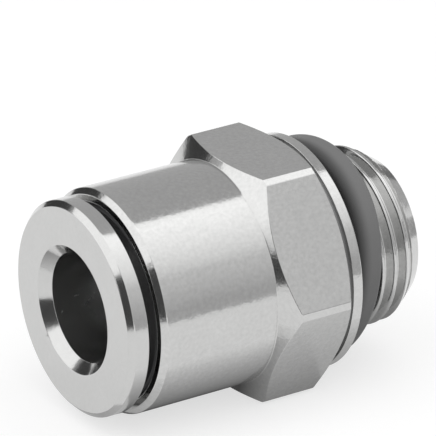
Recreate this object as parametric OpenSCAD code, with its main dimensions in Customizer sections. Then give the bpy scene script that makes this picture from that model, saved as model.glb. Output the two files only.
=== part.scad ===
// Straight push-in fitting: a tube pushes in at the -X end and the parallel pipe thread at
// the +X end screws into a port. The origin is on the axis in the plane of the collar's rear
// rim, which meets the port. Two of the hexagon's flats face up and down, and the fitting
// lies on the lower one. Every turned piece is drawn as a half section of [radius, x] points.

/* [Tube] */
// Outer diameter of the tube
tube_d = 10; // [9:0.25:10.5]
// Radial clearance of the tube in the release ring
tube_gap = 0.05; // [0.02:0.01:0.1]
// Radial clearance of the tube in the socket behind the seal
socket_gap = 0.1; // [0.05:0.05:0.2]
// Length of the socket behind the seal
socket_len = 4.4; // [3:0.1:5]
// Diameter of the air passage
flow_d = 7.5; // [6.5:0.25:8]

/* [Release ring] */
// Wall of the stem
stem_wall = 1.95; // [1.6:0.05:2]
// How far the flange stands out beyond the stem
flange_step = 2.95; // [2.5:0.05:3.2]
// Thickness of the flange
flange_len = 2; // [1.6:0.05:2.6]
// Chamfer on the flange's front edge
flange_chamfer = 0.5; // [0.3:0.01:1]
// Chamfer on the flange's rear edge
flange_rear_chamfer = 0.15; // [0.05:0.05:0.3]
// Radial depth of the bore's lead-in
lead_in_r = 0.93; // [0.5:0.01:1.2]
// Axial depth of the bore's lead-in
lead_in_len = 0.95; // [0.5:0.05:1.5]
// Travel of the release ring
release_travel = 1; // [0.6:0.1:1.1]
// Gap left between flange and sleeve when the ring is pushed in
flange_gap = 0.1; // [0.1:0.05:0.3]
// Gap left between nose and claws when the ring is pushed in
nose_gap = 0.2; // [0.1:0.05:0.4]
// Wall at the tip of the nose
nose_wall = 0.55; // [0.4:0.05:0.8]
// Height of the snap lip on the stem
lip_h = 0.3; // [0.2:0.05:0.4]
// Length of the snap lip
lip_len = 0.7; // [0.5:0.1:1]

/* [Guide bush] */
// Wall of the guide bush
bush_wall = 1.95; // [1.8:0.05:2.2]
// Radial running gap between stem and bush
stem_gap = 0.05; // [0.02:0.01:0.1]
// Length of the guide bush
bush_len = 6.4; // [6:0.1:7]
// Length of the bore that guides the stem
guide_len = 3; // [2.5:0.1:3.5]
// How far the bush sits below the sleeve's face
bush_recess = 0.2; // [0.1:0.05:0.4]
// Radial room round the snap lip
lip_room = 0.55; // [0.4:0.05:0.7]
// Gap between the snap lip and the shoulder that holds it
lip_gap = 0.1; // [0.05:0.05:0.2]

/* [Grip ring] */
// Sheet thickness of the grip ring
grip_t = 0.5; // [0.3:0.05:0.6]
// Width of the flat rim that is clamped
rim_w = 1.1; // [0.9:0.05:1.3]
// Lean of the claws from the radial direction
claw_angle = 35; // [28:1:38]
// How far the claw tips reach inside the tube's surface
claw_bite = 0.15; // [0.05:0.05:0.25]
// Number of claws
claw_count = 12; // [8:1:16]
// Width of the slot between two claws
claw_slot = 0.7; // [0.4:0.1:1]

/* [Support ring and tube seal] */
// Length of the support ring
support_len = 2.6; // [2.5:0.1:3]
// Gap between the claws and the support ring's cone
support_gap = 0.2; // [0.1:0.05:0.25]
// Radial clearance of the tube in the support ring
support_bore_gap = 0.3; // [0.2:0.05:0.4]
// Step between the support ring's seat and the seal's pocket
seal_step = 1; // [0.6:0.05:1.2]
// Length of the tube seal
seal_len = 3.4; // [3:0.1:3.8]
// Free room behind the tube seal
seal_room = 0.2; // [0.1:0.05:0.4]
// How far the seal's lip reaches inside the tube's surface
seal_squeeze = 0.25; // [0.1:0.05:0.35]

/* [Sleeve] */
// Wall of the sleeve round the guide bush
sleeve_wall = 1.4; // [1.1:0.05:1.6]
// Length of the sleeve from its face to the hexagon
sleeve_len = 11.95; // [11.5:0.05:14]
// Chamfer on the sleeve's front edge
sleeve_chamfer = 0.5; // [0.3:0.05:0.8]

/* [Hexagon and collar] */
// Width across the hexagon's flats
hex_af = 22; // [22:0.5:24]
// Length of a flat along its middle
hex_len = 6.9; // [6:0.1:9]
// How much the turned corners stand out beyond the flats
corner_h = 1.5; // [1.1:0.05:1.65]
// Lean of the hexagon's end chamfers from the face
hex_chamfer_angle = 30; // [15:1:35]
// Length of the collar
collar_len = 1.55; // [1.2:0.05:2]
// Width of the relief groove between hexagon and collar
collar_groove_w = 0.45; // [0.3:0.05:0.6]
// Depth of the relief groove between hexagon and collar
collar_groove_depth = 0.25; // [0.15:0.05:0.3]
// Chamfer on the collar's rear edge
collar_chamfer = 0.15; // [0.05:0.05:0.25]
// Width of the rim round the seal's recess
recess_wall = 0.55; // [0.45:0.05:0.7]
// Depth of the seal's recess
recess_depth = 1.8; // [1.4:0.1:2]

/* [Thread] */
// Major diameter of the pipe thread
thread_d = 16.662; // [16.4:0.001:16.8]
// Pitch of the pipe thread
thread_pitch = 1.337; // [1.337:0.001:1.5]
// Lean of the thread's flanks from a plane across the axis
flank_angle = 27.5; // [27.5:0.5:30]
// Distance from the collar's rim to the end of the thread
thread_len = 8.7; // [8.5:0.1:12]
// Distance from the collar's rim to the start of the thread, over the neck behind it
thread_start = 3.6; // [3.6:0.1:4.5]
// Clearance of the neck behind the collar below the thread's root
neck_gap = 0.1; // [0.05:0.05:0.3]
// Radial depth of the lead-in chamfer on the thread's end
thread_chamfer_r = 1.5; // [1:0.1:1.6]
// Length of the lead-in chamfer on the thread's end
thread_chamfer_len = 2.2; // [1.5:0.1:2.5]

/* [Thread seal] */
// Wall of the thread seal, across the axis
thread_seal_wall = 1.65; // [1.4:0.05:1.65]
// Width of the thread seal along the axis
thread_seal_w = 2.6; // [2:0.1:2.8]
// Radial gap between the thread seal and the recess wall
thread_seal_outer_gap = 0.2; // [0.1:0.05:0.3]
// Radial gap between the thread seal and the thread
thread_seal_inner_gap = 0.22; // [0.1:0.02:0.4]
// How far one side of the thread seal is lifted out of its recess
seal_lift = 2.6; // [0:0.1:3]
// Direction of the lifted side, as an angle from +Y towards +Z
seal_lift_angle = 119; // [0:1:359]
// Chamfer on the thread seal's edges
thread_seal_edge = 0.3; // [0.1:0.05:0.5]

/* [Hidden] */
$fn = 144;

// Radii, from the tube outwards
tube_r = tube_d/2;
bore_r = tube_r + tube_gap;
stem_r = bore_r + stem_wall;
lip_r = stem_r + lip_h;
flange_r = stem_r + flange_step;
guide_r = stem_r + stem_gap;
lip_room_r = lip_r + lip_room;
pocket_r = guide_r + bush_wall;
seal_pocket_r = pocket_r - seal_step;
sleeve_r = pocket_r + sleeve_wall;
socket_r = tube_r + socket_gap;
flow_r = flow_d/2;
claw_root_r = pocket_r - rim_w;
claw_tip_r = tube_r - claw_bite;
support_bore_r = tube_r + support_bore_gap;

// Radii of the hexagon, the collar and the thread
flat_r = hex_af/2;
corner_r = flat_r + corner_h;
thread_r = thread_d/2;
// A 55 degree pipe thread is 0.6403 of its pitch deep
thread_depth = 0.6403*thread_pitch;
root_r = thread_r - thread_depth;
crest_w = thread_pitch/2 - thread_depth*tan(flank_angle);
neck_r = root_r - neck_gap;
thread_tip_r = thread_r - thread_chamfer_r;
seal_inner_r = thread_r + thread_seal_inner_gap;
seal_outer_r = seal_inner_r + thread_seal_wall;
recess_r = seal_outer_r + thread_seal_outer_gap;
collar_r = recess_r + recess_wall;
groove_r = collar_r - collar_groove_depth;

// Stations along the axis, from the port towards the tube
hex_rear_x = -collar_len;
groove_end_x = hex_rear_x + collar_groove_w;
hex_front_x = hex_rear_x - hex_len;
hex_middle_x = hex_rear_x - hex_len/2;
hex_slope = tan(hex_chamfer_angle);
sleeve_rear_x = hex_front_x - (flat_r - sleeve_r)*hex_slope;
face_x = sleeve_rear_x - sleeve_len;
flange_rear_x = face_x - flange_gap - release_travel;
flange_front_x = flange_rear_x - flange_len;

// Stations inside, from the sleeve's face inwards
bush_x = face_x + bush_recess;
lip_shoulder_x = bush_x + guide_len;
grip_x = bush_x + bush_len;
support_x = grip_x + grip_t;
shoulder_x = support_x + support_len;
socket_x = shoulder_x + seal_len + seal_room;
stop_x = socket_x + socket_len;
lip_x = lip_shoulder_x + lip_gap;
nose_x = claw_x(bore_r + nose_wall) - release_travel - nose_gap;
stem_end_x = claw_x(stem_r) - release_travel - nose_gap;

// Front side of the claws at radius r
function claw_x(r) = grip_x + (claw_root_r - r)*tan(claw_angle);

// A turned piece from its half section of [radius, x] points
module turned(section) {
    rotate([0, 90, 0]) rotate_extrude() polygon(section);
}

// The hexagon's bar, cut to a turned double cone that blunts its corners
module hexagon() {
    bar_x = hex_front_x - (corner_r - sleeve_r)*hex_slope;
    intersection() {
        translate([bar_x, 0, 0]) rotate([0, 90, 0]) rotate([0, 0, 30])
            cylinder(r = flat_r/cos(30), h = hex_rear_x - bar_x, $fn = 6);
        turned([
            [0, sleeve_rear_x], [sleeve_r, sleeve_rear_x],
            [corner_r, hex_front_x + corner_h*hex_slope],
            [corner_r, hex_rear_x - corner_h*hex_slope],
            [flat_r, hex_rear_x], [0, hex_rear_x]
        ]);
    }
}

// The sleeve, which ends inside the hexagon
module sleeve() {
    turned([
        [0, face_x], [sleeve_r - sleeve_chamfer, face_x], [sleeve_r, face_x + sleeve_chamfer],
        [sleeve_r, hex_middle_x], [0, hex_middle_x]
    ]);
}

// The collar, with the relief groove in front of it, and the threaded end. They start inside
// the hexagon
module collar_and_stub() {
    turned([
        [0, hex_rear_x - corner_h], [groove_r - corner_h, hex_rear_x - corner_h],
        [groove_r, hex_rear_x], [groove_r, groove_end_x], [collar_r, groove_end_x],
        [collar_r, -collar_chamfer], [collar_r - collar_chamfer, 0],
        [thread_r, 0], [thread_r, thread_len - thread_chamfer_len], [thread_tip_r, thread_len],
        [0, thread_len]
    ]);
}

// The groove behind the hexagon: the seal's recess in the collar, and the neck up to the thread
module seal_recess() {
    turned([
        [neck_r, -recess_depth], [recess_r, -recess_depth], [recess_r, thread_start],
        [thread_r, thread_start], [neck_r, thread_start - (thread_r - neck_r)]
    ]);
}

// The grooves between the thread's crests. They are drawn as rings at the thread's pitch, in
// place of its right-handed helix, and the first crest starts at thread_start
module thread_grooves() {
    past = 1;
    flank_w = (thread_depth + past)*tan(flank_angle);
    for (i = [0:floor((thread_len - thread_start)/thread_pitch) - 1])
        translate([thread_start + crest_w/2 + (i + 0.5)*thread_pitch, 0, 0])
            turned([
                [root_r, -crest_w/2], [root_r, crest_w/2],
                [thread_r + past, crest_w/2 + flank_w], [thread_r + past, -crest_w/2 - flank_w]
            ]);
}

// The stepped bore: pocket for the bush and grip ring, seal pocket, tube socket, air passage
module stepped_bore() {
    past = 1;
    edge = 0.3;
    turned([
        [0, face_x - past], [pocket_r + edge + past, face_x - past],
        [pocket_r + edge, face_x], [pocket_r, face_x + edge],
        [pocket_r, shoulder_x], [seal_pocket_r, shoulder_x], [seal_pocket_r, socket_x],
        [socket_r, socket_x], [socket_r, stop_x], [flow_r, stop_x],
        [flow_r, thread_len - edge], [flow_r + edge + past, thread_len + past], [0, thread_len + past]
    ]);
}

module body() {
    color("silver") difference() {
        union() {
            sleeve();
            hexagon();
            collar_and_stub();
        }
        stepped_bore();
        seal_recess();
        thread_grooves();
    }
}

// The ring that is pressed in to free the tube: flange, guided stem, snap lip and conical nose
module release_ring() {
    color("gainsboro") turned([
        [bore_r + lead_in_r, flange_front_x], [flange_r - flange_chamfer, flange_front_x],
        [flange_r, flange_front_x + flange_chamfer], [flange_r, flange_rear_x - flange_rear_chamfer],
        [flange_r - flange_rear_chamfer, flange_rear_x], [stem_r, flange_rear_x],
        [stem_r, lip_x], [lip_r, lip_x], [lip_r, lip_x + lip_len/2], [stem_r, lip_x + lip_len],
        [stem_r, stem_end_x], [bore_r + nose_wall, nose_x], [bore_r, nose_x],
        [bore_r, flange_front_x + lead_in_len]
    ]);
}

// The pressed-in bush that guides the stem, holds its snap lip and clamps the grip ring
module guide_bush() {
    edge = 0.3;
    color("dimgray") turned([
        [guide_r + edge, bush_x], [pocket_r - edge, bush_x], [pocket_r, bush_x + edge],
        [pocket_r, grip_x], [lip_room_r, grip_x], [lip_room_r, lip_shoulder_x],
        [guide_r, lip_shoulder_x], [guide_r, bush_x + edge]
    ]);
}

// The grip ring: a spring steel washer whose inner edge is slit into claws that lean inwards,
// so that the tube slides in past them and they bite when it is pulled
module grip_ring() {
    tip_x = claw_x(claw_tip_r);
    root_back_r = claw_root_r + grip_t*tan(claw_angle/2);
    slot_reach = root_back_r - claw_slot;
    color("lightsteelblue") difference() {
        turned([
            [pocket_r, grip_x], [pocket_r, support_x], [root_back_r, support_x],
            [claw_tip_r + grip_t*sin(claw_angle), tip_x + grip_t*cos(claw_angle)],
            [claw_tip_r, tip_x], [claw_root_r, grip_x]
        ]);
        for (i = [0:claw_count - 1])
            rotate([i*360/claw_count, 0, 0]) {
                translate([grip_x - grip_t, 0, -claw_slot/2])
                    cube([2*grip_t + tip_x - grip_x + grip_t, slot_reach, claw_slot]);
                translate([grip_x - grip_t, slot_reach, 0]) rotate([0, 90, 0])
                    cylinder(d = claw_slot, h = 2*grip_t + tip_x - grip_x + grip_t);
            }
    }
}

// The support ring: its cone backs the claws, and its flat rear face backs the tube seal
module support_ring() {
    cone_x = support_gap + grip_t/cos(claw_angle);
    cone_top_r = claw_root_r + (cone_x - grip_t)/tan(claw_angle);
    color("ivory") turned([
        [cone_top_r, support_x], [pocket_r, support_x], [pocket_r, shoulder_x],
        [support_bore_r, shoulder_x], [support_bore_r, claw_x(support_bore_r) + cone_x]
    ]);
}

// The tube seal: a rubber ring whose inner lip is opened against the tube by the air pressure
module tube_seal() {
    lip_x_out = shoulder_x + seal_len - 0.4;
    root_r = support_bore_r + 0.3;
    color("darkslategray") turned([
        [root_r, shoulder_x], [seal_pocket_r, shoulder_x], [seal_pocket_r, shoulder_x + seal_len],
        [seal_pocket_r - 0.6, shoulder_x + seal_len], [(seal_pocket_r + root_r)/2, shoulder_x + seal_len/2],
        [tube_r + 0.45, lip_x_out], [tube_r - seal_squeeze, lip_x_out - 0.25],
        [tube_r - seal_squeeze, lip_x_out - 0.55], [root_r - 0.1, shoulder_x + 1]
    ]);
}

// The thread seal: a rubber ring seated in the collar's recess on its far side, and pulled out
// of it towards seal_lift_angle, as far as the start of the thread
module thread_seal() {
    steps = 72;
    seat_x = -recess_depth + 0.02;
    e = thread_seal_edge;
    section = [
        [seal_inner_r, e], [seal_inner_r + e, 0], [seal_outer_r - e, 0], [seal_outer_r, e],
        [seal_outer_r, thread_seal_w - e], [seal_outer_r - e, thread_seal_w],
        [seal_inner_r + e, thread_seal_w], [seal_inner_r, thread_seal_w - e]
    ];
    n = len(section);
    points = [
        for (i = [0:steps - 1]) let (a = i*360/steps)
            for (p = section) [seat_x + p[1] + lift(a), p[0]*cos(a), p[0]*sin(a)]
    ];
    faces = [
        for (i = [0:steps - 1], j = [0:n - 1])
            let (i2 = (i + 1) % steps, j2 = (j + 1) % n)
                [i*n + j, i2*n + j, i2*n + j2, i*n + j2]
    ];
    color("dimgray") polyhedron(points, faces, convexity = 4);
}

// Lift of the thread seal at angle a: all of it at the lifted side, fading to none opposite
function lift(a) = seal_lift*pow((1 + cos(a - seal_lift_angle))/2, 1.8);

body();
release_ring();
guide_bush();
grip_ring();
support_ring();
tube_seal();
thread_seal();
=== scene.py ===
from math import atan2, cos, hypot, pi, radians, sin

import bmesh
import bpy
from mathutils import Matrix, Vector


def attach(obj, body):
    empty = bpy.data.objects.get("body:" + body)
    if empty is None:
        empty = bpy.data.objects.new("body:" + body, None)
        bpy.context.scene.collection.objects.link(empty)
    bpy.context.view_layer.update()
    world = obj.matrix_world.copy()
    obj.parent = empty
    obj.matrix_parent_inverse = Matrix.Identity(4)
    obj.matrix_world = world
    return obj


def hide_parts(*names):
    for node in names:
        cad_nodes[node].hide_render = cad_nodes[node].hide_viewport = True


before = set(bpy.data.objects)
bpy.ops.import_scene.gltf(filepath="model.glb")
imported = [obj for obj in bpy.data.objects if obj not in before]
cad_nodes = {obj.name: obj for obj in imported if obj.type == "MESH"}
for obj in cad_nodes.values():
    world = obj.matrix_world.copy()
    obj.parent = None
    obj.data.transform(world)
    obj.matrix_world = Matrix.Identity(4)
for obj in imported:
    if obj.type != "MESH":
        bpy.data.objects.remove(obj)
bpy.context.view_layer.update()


# Body: one piece of free-cutting brass, turned and bored from 22 mm hexagon bar and then nickel
# plated bright. Its sleeve and collar are turned, its six flats are the bar's own skin, and a
# right-handed pipe thread is cut on the far end, behind a neck that clears the thread seal.
MM = 0.001
ROUND_STEPS = 240
FINE_BREAK, EDGE_BREAK, FLAT_BREAK = 0.04, 0.06, 0.045
BREAK_STEP = 0.07
SLACK = 0.01
SHARP_DEG, WIDE_SHARP_DEG, WIDE_RATIO = 24, 5, 3

SLEEVE_R, SLEEVE_FACE_X, SLEEVE_CHAMFER = 10.4, -20.746, 0.5
FLAT_R, CORNER_R = 11.0, 12.5
HEX_FRONT_X, HEX_REAR_X, HEX_SLOPE = -8.45, -1.55, 0.57735
COLLAR_R, COLLAR_CHAMFER = 10.951, 0.15
GROOVE_R, GROOVE_END_X = 10.701, -1.1
RECESS_R, RECESS_X = 10.401, -1.8
NECK_R, NECK_ROUND = 7.375, 0.3
THREAD_R, THREAD_START_X, THREAD_END_X = 8.331, 3.6, 8.7
THREAD_CHAMFER_R, THREAD_CHAMFER_LEN = 1.5, 2.2
THREAD_PITCH, THREAD_DEPTH = 1.337, 0.82
CREST_HALF, FLANK_SLOPE = 0.14, 1.921
FORM_ROUND, FORM_SAMPLES = 0.16, 9
CREST_X_AT_Y = 0.61
THREAD_FLOOR_R, THREAD_RUN_OUT, THREAD_ROW = NECK_R + 0.05, 0.6, 0.035
POCKET_R, SEAL_POCKET_R, SOCKET_R, FLOW_R = 9.0, 8.0, 5.1, 3.75
BORE_CHAMFER = 0.3
SHOULDER_X, SOCKET_X, STOP_X = -11.046, -7.446, -3.046
# The second colour is painted shade for the groove between the hexagon and the collar.
NICKEL, GROOVE_SHADE_NICKEL = (0.56, 0.56, 0.555), (0.2, 0.2, 0.2)


def turned_blank(outline):
    """A turned solid in millimetres from its closed outline of (radius, x, edge break) points."""
    bm = bmesh.new()
    corners = [bm.verts.new((x, 0, r)) for r, x, _ in outline]
    bm.faces.new(corners)
    for size in sorted({edge for _, _, edge in outline if edge}):
        bmesh.ops.bevel(
            bm,
            geom=[v for v, point in zip(corners, outline) if point[2] == size],
            offset=size,
            segments=max(3, round(size / BREAK_STEP)),
            profile=0.5,
            affect="VERTICES",
            material=-1,
        )
    bmesh.ops.delete(bm, geom=bm.faces[:], context="FACES_ONLY")
    return bm


def spun(bm):
    """Spins the outline in bm round the fitting's axis into a closed solid."""
    bmesh.ops.spin(
        bm,
        geom=bm.verts[:] + bm.edges[:],
        cent=(0, 0, 0),
        axis=(1, 0, 0),
        angle=2 * pi,
        steps=ROUND_STEPS,
        use_merge=True,
    )
    bmesh.ops.recalc_face_normals(bm, faces=bm.faces[:])
    return bm


def off_axis(vert):
    """The distance of a vertex from the fitting's axis."""
    return hypot(vert.co.y, vert.co.z)


def placed(bm, name):
    """The object made from bm, which holds its place in its mesh."""
    mesh = bpy.data.meshes.new(name)
    bm.to_mesh(mesh)
    bm.free()
    thing = bpy.data.objects.new(name, mesh)
    bpy.context.scene.collection.objects.link(thing)
    return thing


def finished_piece(bm, name, body, materials):
    """The piece from bm, scaled to metres, smooth shaded between its sharp edges. A wide face
    keeps its own shading up to the narrow edge break beside it."""
    for edge in bm.edges:
        areas = sorted(face.calc_area() for face in edge.link_faces)
        if len(areas) == 2:
            limit = SHARP_DEG if areas[1] < WIDE_RATIO * areas[0] else WIDE_SHARP_DEG
            edge.smooth = edge.calc_face_angle(0) < radians(limit)
        else:
            edge.smooth = False
    for face in bm.faces:
        face.smooth = True
    bmesh.ops.scale(bm, vec=(MM, MM, MM), verts=bm.verts[:])
    piece = placed(bm, name)
    for material in materials:
        piece.data.materials.append(material)
    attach(piece, body)
    return piece


def thread_cut(x):
    """Depth below the crest at distance x from a crest's middle. The 55 degree flanks run between
    a flat crest and a flat root, and the plating has softened all the corners."""
    x = abs(x - THREAD_PITCH * round(x / THREAD_PITCH))
    total = 0.0
    for sample in range(FORM_SAMPLES):
        near = abs(x + FORM_ROUND * (sample / (FORM_SAMPLES - 1) - 0.5))
        flank = (min(near, THREAD_PITCH - near) - CREST_HALF) * FLANK_SLOPE
        total += min(max(flank, 0.0), THREAD_DEPTH)
    return total / FORM_SAMPLES


def on_thread(vert):
    """Whether a vertex of the body lies on the thread or on the cones at its two ends."""
    thread_tip_r = THREAD_R - THREAD_CHAMFER_R
    return vert.co.x > THREAD_START_X - THREAD_RUN_OUT and off_axis(vert) > thread_tip_r - SLACK


def in_groove(vert):
    """Whether a vertex of the body lies in the groove between the hexagon and the collar."""
    within = HEX_REAR_X - SLACK < vert.co.x < GROOVE_END_X + SLACK
    return within and off_axis(vert) < GROOVE_R + SLACK


corner_len = (CORNER_R - FLAT_R) * HEX_SLOPE
blank = turned_blank([
    (POCKET_R + BORE_CHAMFER, SLEEVE_FACE_X, FINE_BREAK),
    (SLEEVE_R - SLEEVE_CHAMFER, SLEEVE_FACE_X, EDGE_BREAK),
    (SLEEVE_R, SLEEVE_FACE_X + SLEEVE_CHAMFER, EDGE_BREAK),
    (SLEEVE_R, HEX_FRONT_X - (FLAT_R - SLEEVE_R) * HEX_SLOPE, EDGE_BREAK),
    (CORNER_R, HEX_FRONT_X + corner_len, EDGE_BREAK),
    (CORNER_R, HEX_REAR_X - corner_len, EDGE_BREAK),
    (FLAT_R, HEX_REAR_X, 0),
    (GROOVE_R, HEX_REAR_X, 0),
    (GROOVE_R, GROOVE_END_X, 0),
    (COLLAR_R, GROOVE_END_X, EDGE_BREAK),
    (COLLAR_R, -COLLAR_CHAMFER, FINE_BREAK),
    (COLLAR_R - COLLAR_CHAMFER, 0, FINE_BREAK),
    (RECESS_R, 0, FINE_BREAK),
    (RECESS_R, RECESS_X, 0),
    (NECK_R, RECESS_X, NECK_ROUND),
    (NECK_R, THREAD_START_X - (THREAD_R - NECK_R), NECK_ROUND),
    (THREAD_R, THREAD_START_X, 0),
    (THREAD_R, THREAD_END_X - THREAD_CHAMFER_LEN, 0),
    (THREAD_R - THREAD_CHAMFER_R, THREAD_END_X, 0),
    (FLOW_R + BORE_CHAMFER, THREAD_END_X, FINE_BREAK),
    (FLOW_R, THREAD_END_X - BORE_CHAMFER, FINE_BREAK),
    (FLOW_R, STOP_X, EDGE_BREAK),
    (SOCKET_R, STOP_X, 0),
    (SOCKET_R, SOCKET_X, EDGE_BREAK),
    (SEAL_POCKET_R, SOCKET_X, 0),
    (SEAL_POCKET_R, SHOULDER_X, FINE_BREAK),
    (POCKET_R, SHOULDER_X, 0),
    (POCKET_R, SLEEVE_FACE_X + BORE_CHAMFER, FINE_BREAK),
])
for edge in [e for e in blank.edges if all(on_thread(v) for v in e.verts)]:
    bmesh.ops.subdivide_edges(blank, edges=[edge], cuts=int(edge.calc_length() / THREAD_ROW))
spun(blank)
# The groove's faces take the third finish, which is painted dark as shade in the groove.
for face in blank.faces:
    if all(in_groove(v) for v in face.verts):
        face.material_index = 2
for vert in blank.verts:
    if on_thread(vert):
        x, y, z = vert.co
        r = off_axis(vert)
        helix_x = CREST_X_AT_Y + THREAD_PITCH * atan2(z, y) / (2 * pi)
        cut_r = max(THREAD_R - thread_cut(x - helix_x), THREAD_FLOOR_R)
        if cut_r < r:
            vert.co = (x, y * cut_r / r, z * cut_r / r)
flats = []
for side in range(6):
    angle = radians(30 + 60 * side)
    toward = Vector((0, cos(angle), sin(angle)))
    bmesh.ops.bisect_plane(
        blank,
        geom=blank.verts[:] + blank.edges[:] + blank.faces[:],
        dist=1e-5,
        plane_co=toward * FLAT_R,
        plane_no=toward,
        clear_outer=True,
    )
    rim = [e for e in blank.edges if e.is_boundary]
    flats += bmesh.ops.edgeloop_fill(blank, edges=rim)["faces"]
for flat in flats:
    flat.material_index = 1
bmesh.ops.bevel(
    blank,
    geom=list({e for flat in flats for e in flat.edges}),
    offset=FLAT_BREAK,
    segments=2,
    profile=0.5,
    affect="EDGES",
    material=-1,
)
bmesh.ops.recalc_face_normals(blank, faces=blank.faces[:])

PEEL_DETAIL, LINE_DETAIL, LINE_STRETCH = 2.0, 3.0, 0.02
CLOUD_SCALE, CLOUD_DETAIL, CLOUD_TONE, CLOUD_ROUGHNESS = 350.0, 2.0, 0.06, 0.05
FLECK_SCALE, FLECK_DETAIL, FLECK_ROUGHNESS = 2800.0, 2.0, 0.5
# A Mix node's sockets by number, for vectors and for colours.
VECTOR_A, VECTOR_B, VECTOR_OUT = 4, 5, 1
COLOR_A, COLOR_B, COLOR_OUT = 6, 7, 2


def feed(tree, socket, value):
    """Sets a socket to a number, or joins another node's output to it."""
    if isinstance(value, float):
        socket.default_value = value
    else:
        tree.links.new(value, socket)


def math_node(tree, operation, *values, clamp=False):
    """The result of a Math node on numbers and other nodes' outputs."""
    node = tree.nodes.new("ShaderNodeMath")
    node.operation = operation
    node.use_clamp = clamp
    for socket, value in zip(node.inputs, values):
        feed(tree, socket, value)
    return node.outputs[0]


def noise_node(tree, place, scale, detail):
    """The value of a Noise Texture at each place."""
    node = tree.nodes.new("ShaderNodeTexNoise")
    tree.links.new(place, node.inputs["Vector"])
    feed(tree, node.inputs["Scale"], scale)
    node.inputs["Detail"].default_value = detail
    return node.outputs[0]


def plate_skin_group():
    """Unevenness of a bright metal skin: soft orange peel, the lathe's rings or the drawing lines
    under it, and a fine fleck. It puts out a colour, a roughness and a height in metres."""
    group = bpy.data.node_groups.new("plate_skin", "ShaderNodeTree")
    face = group.interface
    face.new_socket("Color", in_out="INPUT", socket_type="NodeSocketColor")
    for label in (
        "Roughness", "Peel Size", "Peel Height", "Line Size", "Line Height", "Rings", "Fleck"
    ):
        face.new_socket(label, in_out="INPUT", socket_type="NodeSocketFloat")
    face.new_socket("Color", in_out="OUTPUT", socket_type="NodeSocketColor")
    face.new_socket("Roughness", in_out="OUTPUT", socket_type="NodeSocketFloat")
    face.new_socket("Height", in_out="OUTPUT", socket_type="NodeSocketFloat")
    new, link = group.nodes.new, group.links.new
    given, result = new("NodeGroupInput").outputs, new("NodeGroupOutput").inputs
    place = new("ShaderNodeTexCoord").outputs["Object"]
    split = new("ShaderNodeSeparateXYZ")
    link(place, split.inputs[0])
    x, y, z = split.outputs

    def math(operation, *values):
        return math_node(group, operation, *values)

    def joined(*values):
        node = new("ShaderNodeCombineXYZ")
        for socket, value in zip(node.inputs, values):
            link(value, socket)
        return node.outputs[0]

    def noise(vector, scale, detail):
        return math("SUBTRACT", noise_node(group, vector, scale, detail), 0.5)

    radius = math("SQRT", math("ADD", math("MULTIPLY", y, y), math("MULTIPLY", z, z)))
    lines_at = new("ShaderNodeMix")
    lines_at.data_type = "VECTOR"
    link(given["Rings"], lines_at.inputs["Factor"])
    link(joined(math("MULTIPLY", x, LINE_STRETCH), y, z), lines_at.inputs[VECTOR_A])
    link(joined(x, radius), lines_at.inputs[VECTOR_B])
    peel = noise(place, math("DIVIDE", 1.0, given["Peel Size"]), PEEL_DETAIL)
    line_scale = math("DIVIDE", 1.0, given["Line Size"])
    lines = noise(lines_at.outputs[VECTOR_OUT], line_scale, LINE_DETAIL)
    cloud = noise(place, CLOUD_SCALE, CLOUD_DETAIL)
    fleck = math("MULTIPLY", noise(place, FLECK_SCALE, FLECK_DETAIL), given["Fleck"])
    peel_height = math("MULTIPLY", peel, given["Peel Height"])
    line_height = math("MULTIPLY", lines, given["Line Height"])
    link(math("ADD", peel_height, line_height), result["Height"])
    unevenness = math(
        "ADD", math("MULTIPLY", cloud, CLOUD_ROUGHNESS), math("MULTIPLY", fleck, FLECK_ROUGHNESS)
    )
    link(math("ADD", given["Roughness"], unevenness), result["Roughness"])
    level = math("ADD", 1.0, math("ADD", math("MULTIPLY", cloud, CLOUD_TONE), fleck))
    tint = new("ShaderNodeCombineColor")
    for channel in tint.inputs[:3]:
        link(level, channel)
    shade = new("ShaderNodeMix")
    shade.data_type = "RGBA"
    shade.blend_type = "MULTIPLY"
    shade.inputs["Factor"].default_value = 1.0
    link(given["Color"], shade.inputs[COLOR_A])
    link(tint.outputs[0], shade.inputs[COLOR_B])
    link(shade.outputs[COLOR_OUT], result["Color"])
    return group


plate_skin = plate_skin_group()


def new_material(name):
    """A new material with its nodes and its links."""
    material = bpy.data.materials.new(name)
    material.use_nodes = True
    return material, material.node_tree.nodes, material.node_tree.links


def bright_metal(name, color, roughness, peel, lines, fleck, rings=1.0):
    """Nickel plate over turned or drawn brass, or bare spring sheet. The peel and the lines are
    each a size and a height in metres. The lines run round the axis, and along it where rings
    is 0."""
    material, nodes, links = new_material(name)
    shader = nodes["Principled BSDF"]
    shader.inputs["Metallic"].default_value = 1.0
    skin = nodes.new("ShaderNodeGroup")
    skin.node_tree = plate_skin
    for label, value in (
        ("Color", (*color, 1)), ("Roughness", roughness), ("Peel Size", peel[0]),
        ("Peel Height", peel[1]), ("Line Size", lines[0]), ("Line Height", lines[1]),
        ("Rings", rings), ("Fleck", fleck),
    ):
        skin.inputs[label].default_value = value
    bump = nodes.new("ShaderNodeBump")
    bump.inputs["Strength"].default_value = 1.0
    bump.inputs["Distance"].default_value = 1.0
    links.new(skin.outputs["Height"], bump.inputs["Height"])
    links.new(bump.outputs["Normal"], shader.inputs["Normal"])
    links.new(skin.outputs["Color"], shader.inputs["Base Color"])
    links.new(skin.outputs["Roughness"], shader.inputs["Roughness"])
    return material


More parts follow.
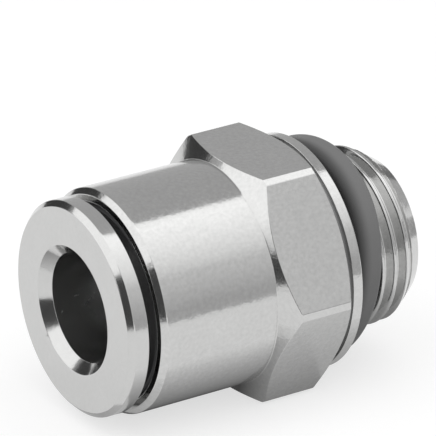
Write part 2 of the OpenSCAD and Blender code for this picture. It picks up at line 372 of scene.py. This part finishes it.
turned_nickel = bright_metal(
    "turned_nickel", NICKEL, 0.13, peel=(0.0005, 0.000009), lines=(0.00012, 0.0000006), fleck=0.22
)
bar_nickel = bright_metal(
    "bar_nickel", NICKEL, 0.2, peel=(0.0004, 0.000012), lines=(0.0002, 0.000001), fleck=0.25,
    rings=0.0,
)
# The groove's nickel is painted dark, as painted shade in the narrow groove between the hexagon
# and the collar. It is also rougher.
shaded_groove_nickel = bright_metal(
    "shaded_groove_nickel", GROOVE_SHADE_NICKEL, 0.35, peel=(0.0005, 0.000004), lines=(0.00012, 0.000001),
    fleck=0.1,
)
body = finished_piece(
    blank,
    "fitting_body",
    "fitting",
    [turned_nickel, bar_nickel, shaded_groove_nickel],
)
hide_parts("body")


# Tube seal: a lip seal of nitrile rubber in its pocket in front of the tube's socket. The air
# pressure opens its lip against the tube.
MOTTLE_SCALE, MOTTLE_DETAIL, MOTTLE_TONE, MOTTLE_ROUGHNESS = 400.0, 4.0, 0.08, 0.08
GRAIN_DETAIL = 3.0


def ranged(tree, value, to_min, to_max, from_min=0.0, from_max=1.0, kind="LINEAR"):
    """A value moved from one range to another, and held at the ends of it."""
    node = tree.nodes.new("ShaderNodeMapRange")
    node.interpolation_type = kind
    for label, given in (
        ("Value", value), ("From Min", from_min), ("From Max", from_max), ("To Min", to_min),
        ("To Max", to_max),
    ):
        feed(tree, node.inputs[label], given)
    return node.outputs[0]


def scaled_color(tree, color, value):
    """A Vector Math node that multiplies a colour by a value, for Base Color."""
    node = tree.nodes.new("ShaderNodeVectorMath")
    node.operation = "SCALE"
    if isinstance(color, tuple):
        node.inputs[0].default_value = color
    else:
        tree.links.new(color, node.inputs[0])
    tree.links.new(value, node.inputs["Scale"])
    return node.outputs[0]


def moulded(name, color, roughness, grain):
    """A dull moulded rubber or plastic with a fine grain, given as a size and a height in
    metres. It comes out a little uneven in tone and in roughness."""
    grain_size, grain_height = grain
    material, nodes, links = new_material(name)
    tree = material.node_tree
    shader = nodes["Principled BSDF"]
    place = nodes.new("ShaderNodeTexCoord").outputs["Object"]
    mottle = noise_node(tree, place, MOTTLE_SCALE, MOTTLE_DETAIL)
    tone = ranged(tree, mottle, 1 - MOTTLE_TONE, 1 + MOTTLE_TONE)
    dullness = ranged(tree, mottle, roughness - MOTTLE_ROUGHNESS, roughness + MOTTLE_ROUGHNESS)
    bump = nodes.new("ShaderNodeBump")
    bump.inputs["Strength"].default_value = 1.0
    bump.inputs["Distance"].default_value = grain_height
    links.new(scaled_color(tree, color, tone), shader.inputs["Base Color"])
    links.new(dullness, shader.inputs["Roughness"])
    links.new(noise_node(tree, place, 1 / grain_size, GRAIN_DETAIL), bump.inputs["Height"])
    links.new(bump.outputs["Normal"], shader.inputs["Normal"])
    return material


def refinished(node, material):
    """Gives a solid of the frame that keeps its shape a new finish."""
    cad_nodes[node].data.materials.clear()
    cad_nodes[node].data.materials.append(material)


refinished(
    "tube_seal", moulded("black_nitrile", (0.03, 0.03, 0.03), 0.55, grain=(0.0001, 0.000006))
)


# Support ring: moulded in pale acetal. Its cone backs the claws, and its flat rear face backs
# the tube seal.
refinished(
    "support_ring", moulded("pale_acetal", (0.72, 0.70, 0.63), 0.4, grain=(0.00015, 0.000003))
)


# Grip ring: stamped from stainless spring sheet, its inner edge slit into claws that lean
# inwards and bite the tube.
refinished(
    "grip_ring",
    bright_metal(
        "spring_sheet", (0.56, 0.57, 0.58), 0.28, peel=(0.0003, 0.000002),
        lines=(0.00006, 0.000001), fleck=0.1, rings=0.0,
    ),
)


# Guide bush: moulded in dark plastic and pressed into the sleeve. It guides the release ring,
# holds its snap lip and clamps the grip ring.
refinished(
    "guide_bush", moulded("dark_acetal", (0.035, 0.035, 0.037), 0.45, grain=(0.00012, 0.000003))
)


# Release ring: turned from brass and nickel plated as the body is. It slides 1 mm into the
# guide bush when it is pressed in, and its nose opens the claws.
FLANGE_R, FLANGE_FRONT_X, FLANGE_REAR_X = 9.95, -23.846, -21.846
FLANGE_CHAMFER, FLANGE_REAR_CHAMFER = 0.5, 0.15
STEM_R, RING_BORE_R = 7.0, 5.05
LEAD_IN_R, LEAD_IN_LEN = 0.93, 0.95
LEAD_IN_BREAK, RING_BORE_BREAK, RING_BORE_SLACK = 0.05, 0.03, 0.02
SNAP_LIP_R, SNAP_LIP_X, SNAP_LIP_LEN = 7.3, -17.446, 0.7
STEM_END_X, NOSE_WALL_R, NOSE_X = -14.716, 5.6, -13.736

ring_blank = spun(turned_blank([
    (RING_BORE_R + LEAD_IN_R, FLANGE_FRONT_X, LEAD_IN_BREAK),
    (FLANGE_R - FLANGE_CHAMFER, FLANGE_FRONT_X, EDGE_BREAK),
    (FLANGE_R, FLANGE_FRONT_X + FLANGE_CHAMFER, EDGE_BREAK),
    (FLANGE_R, FLANGE_REAR_X - FLANGE_REAR_CHAMFER, FINE_BREAK),
    (FLANGE_R - FLANGE_REAR_CHAMFER, FLANGE_REAR_X, FINE_BREAK),
    (STEM_R, FLANGE_REAR_X, 0),
    (STEM_R, SNAP_LIP_X, 0),
    (SNAP_LIP_R, SNAP_LIP_X, FINE_BREAK),
    (SNAP_LIP_R, SNAP_LIP_X + SNAP_LIP_LEN / 2, FINE_BREAK),
    (STEM_R, SNAP_LIP_X + SNAP_LIP_LEN, 0),
    (STEM_R, STEM_END_X, FINE_BREAK),
    (NOSE_WALL_R, NOSE_X, FINE_BREAK),
    (RING_BORE_R, NOSE_X, FINE_BREAK),
    (RING_BORE_R, FLANGE_FRONT_X + LEAD_IN_LEN, RING_BORE_BREAK),
]))
for face in ring_blank.faces:
    if all(off_axis(v) < RING_BORE_R + RING_BORE_SLACK for v in face.verts):
        face.material_index = 1
ring_nickel = bright_metal(
    "ring_nickel", NICKEL, 0.13, peel=(0.0005, 0.000005), lines=(0.00012, 0.0000006), fleck=0.08
)
reamed_nickel = bright_metal(
    "reamed_nickel", NICKEL, 0.26, peel=(0.0004, 0.000004), lines=(0.00012, 0.000002), fleck=0.05
)
ring = finished_piece(
    ring_blank, "push_ring", "release", [ring_nickel, reamed_nickel]
)
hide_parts("release_ring")


# Thread seal: a ring of dull grey rubber that sits in the collar's recess. One side has been
# pulled out of the recess, and leans on the neck in front of the thread. Its colour carries
# painted shade: it is darker across the edge next to the collar, as shade from the recess, and a
# little paler over the rest.
SEAL_INNER_R, SEAL_OUTER_R, SEAL_WIDTH = 8.551, 10.201, 2.6
SEAL_SEAT_X = RECESS_X + 0.02
SEAL_LIFT, SEAL_LIFT_ANGLE, SEAL_LIFT_SPREAD = 2.6, radians(119), 1.8
SEAL_EDGE, SEAL_FRONT_ROUND = 0.28, 0.9
# The seal's painted shade: its tone at the collar's edge and over the rest, and where across its
# width the one runs into the other.
SEAL_SHADE_START, SEAL_SHADE_END, SEAL_SHADE_TONE, SEAL_UNSHADED_TONE = 0.1, 0.6, 0.35, 1.08

seal_blank = spun(turned_blank([
    (SEAL_INNER_R, SEAL_SEAT_X, SEAL_EDGE),
    (SEAL_OUTER_R, SEAL_SEAT_X, SEAL_FRONT_ROUND),
    (SEAL_OUTER_R, SEAL_SEAT_X + SEAL_WIDTH, SEAL_EDGE),
    (SEAL_INNER_R, SEAL_SEAT_X + SEAL_WIDTH, SEAL_EDGE),
]))
across = seal_blank.verts.layers.float.new("across")
for vert in seal_blank.verts:
    vert[across] = (vert.co.x - SEAL_SEAT_X) / SEAL_WIDTH
    turn = atan2(vert.co.z, vert.co.y) - SEAL_LIFT_ANGLE
    vert.co.x += SEAL_LIFT * ((1 + cos(turn)) / 2) ** SEAL_LIFT_SPREAD
grey_rubber = moulded("grey_rubber", (0.16, 0.16, 0.16), 0.6, grain=(0.00012, 0.000012))
tree = grey_rubber.node_tree
width_at = tree.nodes.new("ShaderNodeAttribute")
width_at.attribute_name = "across"
# Painted shade: the rubber's colour is scaled down on the collar's side of the seal and up a
# little over the rest.
painted_collar_shade = ranged(
    tree, width_at.outputs["Fac"], SEAL_SHADE_TONE, SEAL_UNSHADED_TONE, SEAL_SHADE_START, SEAL_SHADE_END, "SMOOTHSTEP"
)
rubber = tree.nodes["Principled BSDF"].inputs["Base Color"]
tree.links.new(scaled_color(tree, rubber.links[0].from_socket, painted_collar_shade), rubber)
seal = finished_piece(seal_blank, "port_seal", "fitting", [grey_rubber])
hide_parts("thread_seal")


# Camera: a long lens on the release ring's side, a little above the fitting, with the fitting
# low in the picture as in the photograph.
CAMERA_AZIMUTH, CAMERA_ELEVATION = radians(-32.55), radians(24.54)
FOCAL_PX, PICTURE_PX = 5330.0, 436.0
ORIGIN_PX = (296.26, 248.94)
CAMERA_DISTANCE = 484.7 * MM
SENSOR_WIDTH = 36.0

ahead = Vector((
    -sin(CAMERA_AZIMUTH) * cos(CAMERA_ELEVATION),
    cos(CAMERA_AZIMUTH) * cos(CAMERA_ELEVATION),
    -sin(CAMERA_ELEVATION),
))
right = Vector((cos(CAMERA_AZIMUTH), sin(CAMERA_AZIMUTH), 0))
up = right.cross(ahead)
middle_px = (PICTURE_PX - 1) / 2
off_right = (ORIGIN_PX[0] - middle_px) / FOCAL_PX * CAMERA_DISTANCE
off_up = -(ORIGIN_PX[1] - middle_px) / FOCAL_PX * CAMERA_DISTANCE
stand = -right * off_right - up * off_up - ahead * CAMERA_DISTANCE
camera_data = bpy.data.cameras.new("camera")
camera_data.sensor_width = SENSOR_WIDTH
camera_data.sensor_fit = "HORIZONTAL"
camera_data.lens = FOCAL_PX / PICTURE_PX * SENSOR_WIDTH
camera_data.clip_start = 0.01
camera_data.clip_end = 20.0
camera = bpy.data.objects.new("camera", camera_data)
camera.matrix_world = Matrix.Translation(stand) @ Matrix((right, up, -ahead)).transposed().to_4x4()
bpy.context.scene.collection.objects.link(camera)
bpy.context.scene.camera = camera


# Floor: a wide white sheet that the fitting's lower flat lies on. It takes the shadow, and the
# rest of it is raised to white wherever it is seen, directly or in the metal.
FLOOR_Z, FLOOR_SIZE = -FLAT_R * MM, 8.0
FLOOR_COLOR, FLOOR_GLOW = (0.4, 0.4, 0.4, 1), 0.65
ACROSS, ALONG, UPRIGHT = (1, 0, 0), (0, 1, 0), (0, 0, 1)


def card(name, centre, across, along, width, length):
    """A flat card for the studio: its middle, two directions in its plane and its size."""
    across, along = Vector(across).normalized(), Vector(along).normalized()
    turn = Matrix((across, along, across.cross(along))).transposed().to_4x4()
    size = Matrix.Diagonal((width, length, 1, 1))
    bm = bmesh.new()
    bmesh.ops.create_grid(bm, x_segments=1, y_segments=1, size=0.5)
    bmesh.ops.transform(
        bm, matrix=Matrix.Translation(Vector(centre)) @ turn @ size, verts=bm.verts[:]
    )
    sheet = placed(bm, name)
    return sheet


floor = card("floor", (0, 0, FLOOR_Z), ACROSS, ALONG, FLOOR_SIZE, FLOOR_SIZE)
floor_white, nodes, links = new_material("floor_white")
nodes.clear()
surface = nodes.new("ShaderNodeOutputMaterial")
matte = nodes.new("ShaderNodeBsdfDiffuse")
matte.inputs["Color"].default_value = FLOOR_COLOR
glow = nodes.new("ShaderNodeEmission")
both = nodes.new("ShaderNodeAddShader")
rays = nodes.new("ShaderNodeLightPath").outputs
tree = floor_white.node_tree
seen = math_node(tree, "ADD", rays["Is Camera Ray"], rays["Is Glossy Ray"])
seen_through = math_node(tree, "ADD", seen, rays["Is Transmission Ray"], clamp=True)
links.new(math_node(tree, "MULTIPLY", seen_through, FLOOR_GLOW), glow.inputs["Strength"])
links.new(matte.outputs[0], both.inputs[0])
links.new(glow.outputs[0], both.inputs[1])
links.new(both.outputs[0], surface.inputs["Surface"])
floor.data.materials.append(floor_white)


# Studio light: a grey room with two softboxes overhead. The back edge of the long one draws the
# sharp line along the sleeve. Cards round the fitting set what its chamfers reflect. A dim card at
# its mouth and three just above the floor under it are painted shadow: they stand in for the
# fitting's shadow on the floor as its metal reflects it. They are seen only in the metal.
UNDER_Z = FLOOR_Z + 0.00001
BACK_CARD_FOOT_Z = 0.001
MOUTH_ACROSS, MOUTH_ALONG = (0.76, -0.65, 0), (0.65, 0.76, 0)
ROOM_LEVEL, ROOM_RISE, ROOM_SIDE = 0.54, 0.6, -1.5


def glowing(name, strength, far_strength=None, start=0.0, end=1.0):
    """The face of a softbox or card. Its light may run to another strength, by distance from
    the fitting's axis along Y."""
    material, nodes, links = new_material(name)
    nodes.clear()
    surface = nodes.new("ShaderNodeOutputMaterial")
    glow = nodes.new("ShaderNodeEmission")
    glow.inputs["Strength"].default_value = strength
    if far_strength is not None:
        tree = material.node_tree
        place = nodes.new("ShaderNodeTexCoord")
        split = nodes.new("ShaderNodeSeparateXYZ")
        links.new(place.outputs["Object"], split.inputs[0])
        distance = math_node(tree, "ABSOLUTE", split.outputs["Y"])
        fade = ranged(tree, distance, strength, far_strength, start, end)
        links.new(fade, glow.inputs["Strength"])
    links.new(glow.outputs[0], surface.inputs["Surface"])
    return material


def standing_card(name, foot_a, foot_b, top_a, top_b, foot_z=FLOOR_Z):
    """A card that stands on the floor, or at foot_z, along the line between two (x, y) points,
    with the height of its top at each of them."""
    bm = bmesh.new()
    corners = [(*foot_a, foot_z), (*foot_b, foot_z), (*foot_b, top_b), (*foot_a, top_a)]
    bm.faces.new([bm.verts.new(corner) for corner in corners])
    sheet = placed(bm, name)
    return sheet


# Each sheet comes with its strength, or with the two strengths that its light runs between and
# the distances from the axis where that starts and ends.
softboxes = (
    (card("long_softbox", (0.175, -0.222, 0.3), ACROSS, ALONG, 0.65, 0.516),
     (1.6, 0.75, 0.0, 0.48)),
    (card("left_softbox", (-0.45, 0.18, 0.3), ACROSS, ALONG, 0.6, 0.68), (1.42,)),
)
cards = (
    (standing_card("back_strip", (-0.322, -0.01), (-0.21, 0.223), 0.11, 0.11),
     (1.0, 1.5, 0.0, 0.05)),
    (standing_card("left_card", (-0.0695, -0.0105), (-0.102, -0.0895), 0.0195, 0.0926), (0.08,)),
    (standing_card("near_card", (-0.06, 0.014), (-0.0695, -0.0105), 0.004, 0.0055), (0.08,)),
    (standing_card(
        "back_card", (-0.076, 0.109), (-0.012, 0.126), 0.066, 0.066, foot_z=BACK_CARD_FOOT_Z
    ), (0.06,)),
    (card("high_card", (-0.085, 0.118, 0.065), ACROSS, UPRIGHT, 0.03, 0.03), (0.3,)),
    (standing_card("front_card", (-0.003, -0.104), (0.067, -0.064), 0.004, 0.004), (0.56,)),
    (standing_card("end_card", (0.06, 0.027), (0.06, 0.049), 0.012, 0.0), (0.2,)),
    (standing_card("low_end_card", (0.06, -0.004), (0.06, 0.003), 0.0, 0.0), (0.42,)),
    # Painted shadow: a dim card just in front of the mouth stands in for the fitting's shadow on
    # the floor, as the bore's lead-in reflects it.
    (card("mouth_shadow_card", (-0.0271, 0.00485, -0.005), MOUTH_ACROSS, MOUTH_ALONG, 0.003, 0.0046),
     (0.8, 0.38, 0.003, 0.0066)),
    # Painted shadow: three cards lie on the floor under the fitting. They are dim near its axis
    # and white away from it, and stand in for its shadow there as the metal reflects it.
    (card("under_shadow_card", (-0.0107, 0, UNDER_Z), ACROSS, ALONG, 0.019, 0.032),
     (0.08, 1.03, 0.003, 0.016)),
    (card("lip_shadow_card", (-0.0226, 0, UNDER_Z), ACROSS, ALONG, 0.0048, 0.032),
     (0.5, 1.03, 0.003, 0.014)),
    (card("rear_shadow_card", (0.0053, 0, UNDER_Z), ACROSS, ALONG, 0.013, 0.032),
     (0.3, 0.95, 0.003, 0.016)),
)
for sheet, strengths in softboxes + cards:
    sheet.data.materials.append(glowing(sheet.name + "_face", *strengths))
    sheet.visible_camera = False
    sheet.visible_shadow = False
    sheet.visible_diffuse = (sheet, strengths) in softboxes

# The room is lighter high up on the camera's side.
room = bpy.data.worlds.new("room")
bpy.context.scene.world = room
room.use_nodes = True
tree = room.node_tree
toward = tree.nodes.new("ShaderNodeTexCoord")
split = tree.nodes.new("ShaderNodeSeparateXYZ")
tree.links.new(toward.outputs["Generated"], split.inputs[0])
in_front = math_node(tree, "MULTIPLY", split.outputs["Y"], ROOM_SIDE, clamp=True)
raised = math_node(tree, "MULTIPLY", in_front, split.outputs["Z"])
room_level = math_node(tree, "MULTIPLY_ADD", raised, ROOM_RISE, ROOM_LEVEL)
background = tree.nodes["Background"]
background.inputs["Color"].default_value = (1, 1, 1, 1)
tree.links.new(room_level, background.inputs["Strength"])
bpy.context.scene.view_settings.view_transform = "Standard"
